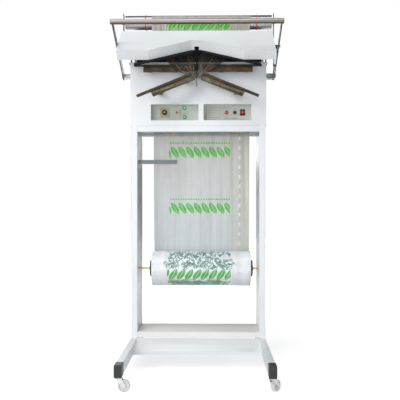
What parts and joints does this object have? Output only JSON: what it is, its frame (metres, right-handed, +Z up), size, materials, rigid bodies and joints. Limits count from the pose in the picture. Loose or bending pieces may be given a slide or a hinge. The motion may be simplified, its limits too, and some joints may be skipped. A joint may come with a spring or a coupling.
{
  "type": "impulse heat sealer",
  "caption": "Standing impulse sealer on casters: film runs from a low roll over a top roller to chevron jaws under a hinged hood, with recessed controls in the cabinet.",
  "frame": {"origin": "centre of the bounding box at floor level", "axes": "+X to the operator's right, +Y from the operator towards the back, +Z up"},
  "size_m": [0.796, 0.8058, 1.752],
  "materials": {
    "white_paint": "satin",
    "black_plastic": "matte",
    "zinc": "satin",
    "white_nylon": "gloss",
    "shelf_laminate": "matte",
    "slate_paint": "satin",
    "liner_black": "matte",
    "transformer_core": "matte",
    "panel_beige": "matte",
    "timer_cream": "matte",
    "knob_dark": "matte",
    "chrome": "polished",
    "green_lens": "gloss",
    "red_lens": "gloss",
    "red_plastic": "gloss",
    "brown_cover": "satin",
    "brown_strip": "satin",
    "dark_steel": "satin",
    "aluminium": "satin",
    "grey_paint": "satin",
    "brass": "satin",
    "film_clear": "gloss",
    "film_printed": "gloss"
  },
  "bodies": {
    "stand": {"legs": "white_paint", "leg_caps": "black_plastic", "caster_stems": "zinc", "columns": "white_paint", "cross_beams": "white_paint", "shelf_tray": "shelf_laminate", "shelf_bolts": "zinc", "foot_plate": "white_paint", "rest_bar": "slate_paint", "cabinet_shell": "white_paint", "back_cover": "white_paint", "rear_guard": "white_paint", "guard_liner": "liner_black", "power_inlet": "black_plastic", "transformer": "transformer_core", "control_frames": "white_paint", "control_panels": "panel_beige", "timer_body": "timer_cream", "toggle_body": "chrome", "lamp_bezels": "chrome", "green_lenses": "green_lens", "red_lens": "red_lens", "fuse_holder": "black_plastic", "rocker_frame": "black_plastic", "lower_jaws": "brown_cover", "lower_strips": "brown_strip", "guide_bars": "brown_cover", "guide_strips": "brown_strip", "jaw_screws": "dark_steel", "centre_block": "dark_steel", "hanger_rod": "dark_steel", "hinge_blocks": "zinc", "hinge_pins": "zinc", "roller_brackets": "grey_paint", "roller_shaft": "zinc", "roll_axle": "brass", "film_web": "film_clear"},
    "head": {"hood": "white_paint", "upper_jaws": "liner_black", "upper_heaters": "brown_strip", "side_arms": "grey_paint", "head_bolts": "brass", "handle_tube": "zinc"},
    "gas_cylinder": {"gas_cylinder": "zinc"},
    "gas_rod": {"gas_rod": "dark_steel"},
    "top_roller": {"top_roller": "aluminium"},
    "film_roll": {"film_roll": "film_printed", "roll_flanges": "black_plastic"},
    "timer_dial": {"timer_dial": "knob_dark"},
    "toggle_lever": {"toggle_lever": "chrome"},
    "rocker": {"rocker_paddle": "red_plastic"},
    "fuse_cap": {"fuse_cap": "black_plastic"},
    "fork_fl": {"caster_fork_fl": "zinc"},
    "wheel_fl": {"caster_wheel_fl": "white_nylon"},
    "fork_fr": {"caster_fork_fr": "zinc"},
    "wheel_fr": {"caster_wheel_fr": "white_nylon"},
    "fork_rl": {"caster_fork_rl": "zinc"},
    "wheel_rl": {"caster_wheel_rl": "white_nylon"},
    "fork_rr": {"caster_fork_rr": "zinc"},
    "wheel_rr": {"caster_wheel_rr": "white_nylon"}
  },
  "joints": [
    {"name": "head_hinge", "type": "hinge", "parent": "stand", "child": "head", "pos_m": [0, 0.234, 1.445], "axis": [1, 0, 0], "range_deg": [0, 30], "stiffness_Nm_per_rad": 14, "springref_deg": -68.75},
    {"name": "gas_cylinder_swing", "type": "hinge", "parent": "head", "child": "gas_cylinder", "pos_m": [0.3775, 0.026, 1.544], "axis": [1, 0, 0], "range_deg": [0, 10]},
    {"name": "gas_rod_slide", "type": "slide", "parent": "gas_cylinder", "child": "gas_rod", "axis": [0, -0.7578, 0.6525], "range_m": [0, 0.03]},
    {"name": "top_roller_spin", "type": "hinge", "parent": "stand", "child": "top_roller", "pos_m": [0, 0.19, 1.71], "axis": [1, 0, 0], "continuous": true},
    {"name": "film_roll_spin", "type": "hinge", "parent": "stand", "child": "film_roll", "pos_m": [0, 0.22, 0.455], "axis": [1, 0, 0], "continuous": true},
    {"name": "timer_turn", "type": "hinge", "parent": "stand", "child": "timer_dial", "pos_m": [-0.172, 0.17, 1.25], "axis": [0, 1, 0], "range_deg": [0, 300]},
    {"name": "toggle_throw", "type": "hinge", "parent": "stand", "child": "toggle_lever", "pos_m": [-0.11, 0.176, 1.25], "axis": [1, 0, 0], "range_deg": [0, 24]},
    {"name": "rocker_throw", "type": "hinge", "parent": "stand", "child": "rocker", "pos_m": [0.224, 0.186, 1.25], "axis": [1, 0, 0], "range_deg": [0, 16]},
    {"name": "fuse_turn", "type": "hinge", "parent": "stand", "child": "fuse_cap", "pos_m": [0.185, 0.17, 1.25], "axis": [0, 1, 0], "range_deg": [-90, 0]},
    {"name": "swivel_fl", "type": "hinge", "parent": "stand", "child": "fork_fl", "pos_m": [-0.32, -0.375, 0.056], "axis": [0, 0, 1], "continuous": true},
    {"name": "spin_fl", "type": "hinge", "parent": "fork_fl", "child": "wheel_fl", "pos_m": [-0.298, -0.375, 0.025], "axis": [0, 1, 0], "continuous": true},
    {"name": "swivel_fr", "type": "hinge", "parent": "stand", "child": "fork_fr", "pos_m": [0.32, -0.375, 0.056], "axis": [0, 0, 1], "continuous": true},
    {"name": "spin_fr", "type": "hinge", "parent": "fork_fr", "child": "wheel_fr", "pos_m": [0.33472, -0.35865, 0.025], "axis": [-0.7431, 0.6691, 0], "continuous": true},
    {"name": "swivel_rl", "type": "hinge", "parent": "stand", "child": "fork_rl", "pos_m": [-0.32, 0.375, 0.056], "axis": [0, 0, 1], "continuous": true},
    {"name": "spin_rl", "type": "hinge", "parent": "fork_rl", "child": "wheel_rl", "pos_m": [-0.29933, 0.36748, 0.025], "axis": [0.342, 0.9397, 0], "continuous": true},
    {"name": "swivel_rr", "type": "hinge", "parent": "stand", "child": "fork_rr", "pos_m": [0.32, 0.375, 0.056], "axis": [0, 0, 1], "continuous": true},
    {"name": "spin_rr", "type": "hinge", "parent": "fork_rr", "child": "wheel_rr", "pos_m": [0.29933, 0.36748, 0.025], "axis": [0.342, -0.9397, 0], "continuous": true}
  ],
  "couplings": [
    {"joint": "gas_cylinder_swing", "follows": "head_hinge", "ratio": 0.26},
    {"joint": "gas_rod_slide", "follows": "head_hinge", "m_per_rad": 0.049}
  ]
}
